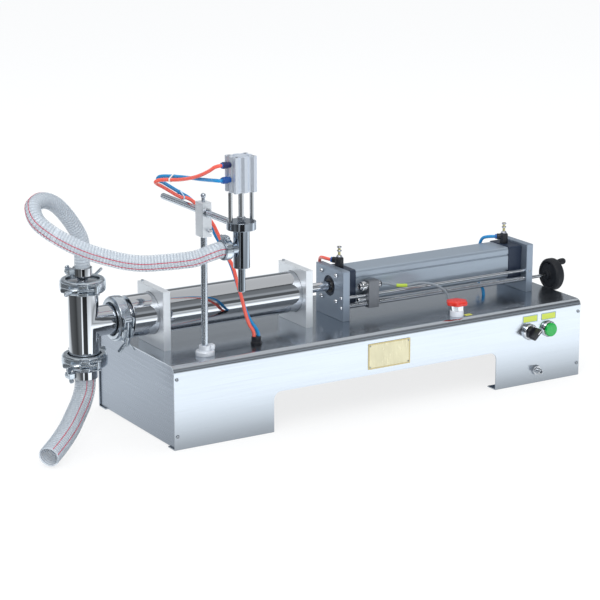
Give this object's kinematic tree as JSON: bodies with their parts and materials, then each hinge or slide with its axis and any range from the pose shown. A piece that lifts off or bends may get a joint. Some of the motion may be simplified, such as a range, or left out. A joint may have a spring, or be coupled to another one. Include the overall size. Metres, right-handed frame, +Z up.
{
  "type": "piston liquid filler",
  "caption": "Bench-top piston filler for liquids: steel cabinet, product cylinder driven by an air cylinder, tee with ball valves, hoses and a nozzle on an adjustable post.",
  "frame": {"origin": "bottom centre of the box round the solids other than the hoses, tubes and cable, on the surface that the cabinet stands on", "axes": "+X from the tee towards the handwheel, along the cylinders; +Y from the operator's side to the back; +Z up"},
  "size_m": [1.1049, 0.395, 0.503],
  "materials": {
    "cabinet_steel": "brushed along its length",
    "polished_steel": "polished stainless",
    "cast_steel": "cast stainless, tumbled",
    "milled_aluminium": "milled, matt",
    "barrel_aluminium": "drawn and anodised clear",
    "black_anodised": "anodised black",
    "chromed_metal": "bright chrome",
    "black_plastic": "moulded black",
    "screw_brass": "turned and knurled",
    "plate_brass": "pale brass sheet, satin",
    "green_plastic": "moulded green",
    "red_plastic": "moulded red",
    "white_seal": "white seal plastic",
    "red_tube": "smooth red tube",
    "blue_tube": "smooth blue tube",
    "clear_hose": "clear hose with a steel spiral and red lines",
    "grey_cable": "smooth grey cable"
  },
  "bodies": {
    "base": {"cabinet_shell": "cabinet_steel", "left_end_panel": "cabinet_steel", "right_end_panel": "cabinet_steel", "product_cylinder": "polished_steel", "guide_rod": "polished_steel", "tee_body": "polished_steel", "outlet_spigot": "polished_steel", "inlet_spigot": "polished_steel", "post_base": "polished_steel", "tee_clamp_top": "cast_steel", "tee_clamp_bottom": "cast_steel", "tee_clamp_branch": "cast_steel", "block_left_lower": "milled_aluminium", "block_left_upper": "milled_aluminium", "block_right_lower": "milled_aluminium", "block_right_upper": "milled_aluminium", "front_mount_plate": "milled_aluminium", "rear_mount_plate": "milled_aluminium", "barrel": "barrel_aluminium", "front_cap": "black_anodised", "rear_cap": "black_anodised", "control_valve": "black_anodised", "selector_bezel": "chromed_metal", "start_bezel": "chromed_metal", "estop_base": "chromed_metal", "air_inlet": "chromed_metal", "flow_control_front": "black_plastic", "flow_control_rear": "black_plastic", "tube_bulkhead": "black_plastic", "nameplate": "plate_brass", "red_tube_lower": "red_tube", "barrel_tube_red": "red_tube", "blue_tube_lower": "blue_tube", "barrel_tube_blue": "blue_tube", "product_hose_lower": "clear_hose", "suction_hose": "clear_hose"},
    "pistons": {"product_piston": "white_seal", "piston_rod": "polished_steel"},
    "volume_screw": {"adjusting_screw": "polished_steel", "handwheel": "black_plastic"},
    "crank": {"crank_handle": "black_plastic"},
    "carriage": {"carriage": "milled_aluminium", "sensor_cable": "grey_cable"},
    "post": {"post": "polished_steel", "clamp_block": "milled_aluminium"},
    "thumb_screw": {"thumb_screw": "chromed_metal"},
    "head": {"arm": "polished_steel", "nozzle_body": "polished_steel", "head_cylinder": "barrel_aluminium", "product_hose_upper": "clear_hose", "red_tube_upper": "red_tube", "blue_tube_upper": "blue_tube"},
    "nozzle_stem": {"nozzle_stem": "polished_steel"},
    "selector": {"selector_knob": "black_plastic"},
    "start_button": {"start_button": "green_plastic"},
    "estop_head": {"estop_head": "red_plastic"},
    "flow_screw_front": {"flow_screw_front": "screw_brass"},
    "flow_screw_rear": {"flow_screw_rear": "screw_brass"},
    "outlet_ball": {"outlet_ball": "polished_steel"},
    "inlet_ball": {"inlet_ball": "polished_steel"}
  },
  "joints": [
    {"name": "piston_stroke", "type": "slide", "parent": "base", "child": "pistons", "axis": [1, 0, 0], "range_m": [0, 0.24]},
    {"name": "volume_turn", "type": "hinge", "parent": "base", "child": "volume_screw", "pos_m": [0.22567, 0.011, 0.169], "axis": [1, 0, 0], "range_deg": [-12960, 0]},
    {"name": "crank_spin", "type": "hinge", "parent": "volume_screw", "child": "crank", "pos_m": [0.50367, 0.011, 0.1905], "axis": [1, 0, 0], "continuous": true},
    {"name": "carriage_travel", "type": "slide", "parent": "base", "child": "carriage", "axis": [1, 0, 0], "range_m": [0, 0.2881]},
    {"name": "post_height", "type": "slide", "parent": "base", "child": "post", "axis": [0, 0, 1], "range_m": [-0.09, 0]},
    {"name": "thumb_screw_turn", "type": "hinge", "parent": "post", "child": "thumb_screw", "pos_m": [-0.28433, -0.048, 0.405], "axis": [0, 0, 1], "continuous": true},
    {"name": "arm_reach", "type": "slide", "parent": "post", "child": "head", "axis": [0, 1, 0], "range_m": [-0.11, 0.07]},
    {"name": "nozzle_open", "type": "slide", "parent": "head", "child": "nozzle_stem", "axis": [0, 0, 1], "range_m": [0, 0.014]},
    {"name": "selector_turn", "type": "hinge", "parent": "base", "child": "selector", "pos_m": [0.36017, -0.0995, 0.099], "axis": [0, 1, 0], "range_deg": [-90, 0]},
    {"name": "start_press", "type": "slide", "parent": "base", "child": "start_button", "axis": [0, 1, 0], "range_m": [0, 0.004], "stiffness_N_per_m": 400},
    {"name": "estop_press", "type": "slide", "parent": "base", "child": "estop_head", "axis": [0, 0, 1], "range_m": [-0.004, 0]},
    {"name": "flow_front_turn", "type": "hinge", "parent": "base", "child": "flow_screw_front", "pos_m": [0.04117, 0.0515, 0.255], "axis": [0, 0, 1], "range_deg": [-720, 2160]},
    {"name": "flow_rear_turn", "type": "hinge", "parent": "base", "child": "flow_screw_rear", "pos_m": [0.40067, 0.0515, 0.255], "axis": [0, 0, 1], "range_deg": [-720, 2160]},
    {"name": "outlet_ball_lift", "type": "slide", "parent": "base", "child": "outlet_ball", "axis": [0, 0, 1], "range_m": [0, 0.004]},
    {"name": "inlet_ball_lift", "type": "slide", "parent": "base", "child": "inlet_ball", "axis": [0, 0, 1], "range_m": [0, 0.004]}
  ],
  "couplings": [
    {"joint": "carriage_travel", "follows": "volume_turn", "m_per_rad": -0.0012732}
  ]
}
